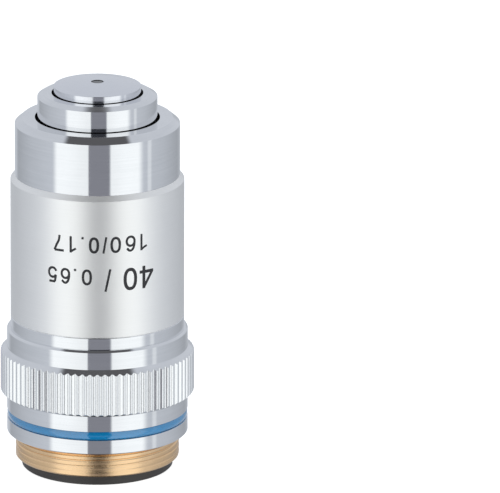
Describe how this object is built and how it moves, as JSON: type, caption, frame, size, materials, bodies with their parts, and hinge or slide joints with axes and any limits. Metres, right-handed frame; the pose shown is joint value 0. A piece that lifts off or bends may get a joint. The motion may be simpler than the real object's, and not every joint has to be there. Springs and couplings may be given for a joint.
{
  "type": "microscope objective",
  "caption": "Microscope objective: threaded brass mount, knurled plated collar with a blue ring, satin sleeve with optical numbers, and a sprung lens barrel that retracts.",
  "frame": {"origin": "on the optical axis, in the plane of the mounting shoulder that seats on the nosepiece", "axes": "+Z along the optical axis from the mounting thread towards the front lens; -Y is the side with the engraved numbers"},
  "size_m": [0.024, 0.024, 0.0492],
  "materials": {
    "brass": "turned, semi-gloss",
    "black_finish": "matt black",
    "bright_plating": "polished",
    "satin_plating": "satin",
    "blue_enamel": "gloss",
    "spring_steel": "drawn",
    "optical_glass": "polished and coated"
  },
  "bodies": {
    "housing": {"mount_thread_ring": "brass", "rear_stop_ring": "black_finish", "knurled_collar": "bright_plating", "color_band": "blue_enamel", "outer_sleeve": "satin_plating", "nose_cover": "bright_plating", "guide_bush": "brass", "guide_pin": "spring_steel", "spring_washer": "spring_steel", "return_spring": "spring_steel"},
    "lens_unit": {"lens_barrel": "bright_plating", "front_lens_cell": "satin_plating", "front_lens": "optical_glass", "doublet_1_cell": "black_finish", "doublet_1_crown": "optical_glass", "doublet_1_flint": "optical_glass", "spacer_tube": "black_finish", "doublet_2_cell": "black_finish", "doublet_2_crown": "optical_glass", "doublet_2_flint": "optical_glass", "aperture_stop": "black_finish", "lens_lock_ring": "black_finish"}
  },
  "joints": [
    {"name": "nose_retract", "type": "slide", "parent": "housing", "child": "lens_unit", "axis": [0, 0, -1], "range_m": [0, 0.002], "stiffness_N_per_m": 450, "springref_m": -0.003, "deforming": ["return_spring"]}
  ]
}
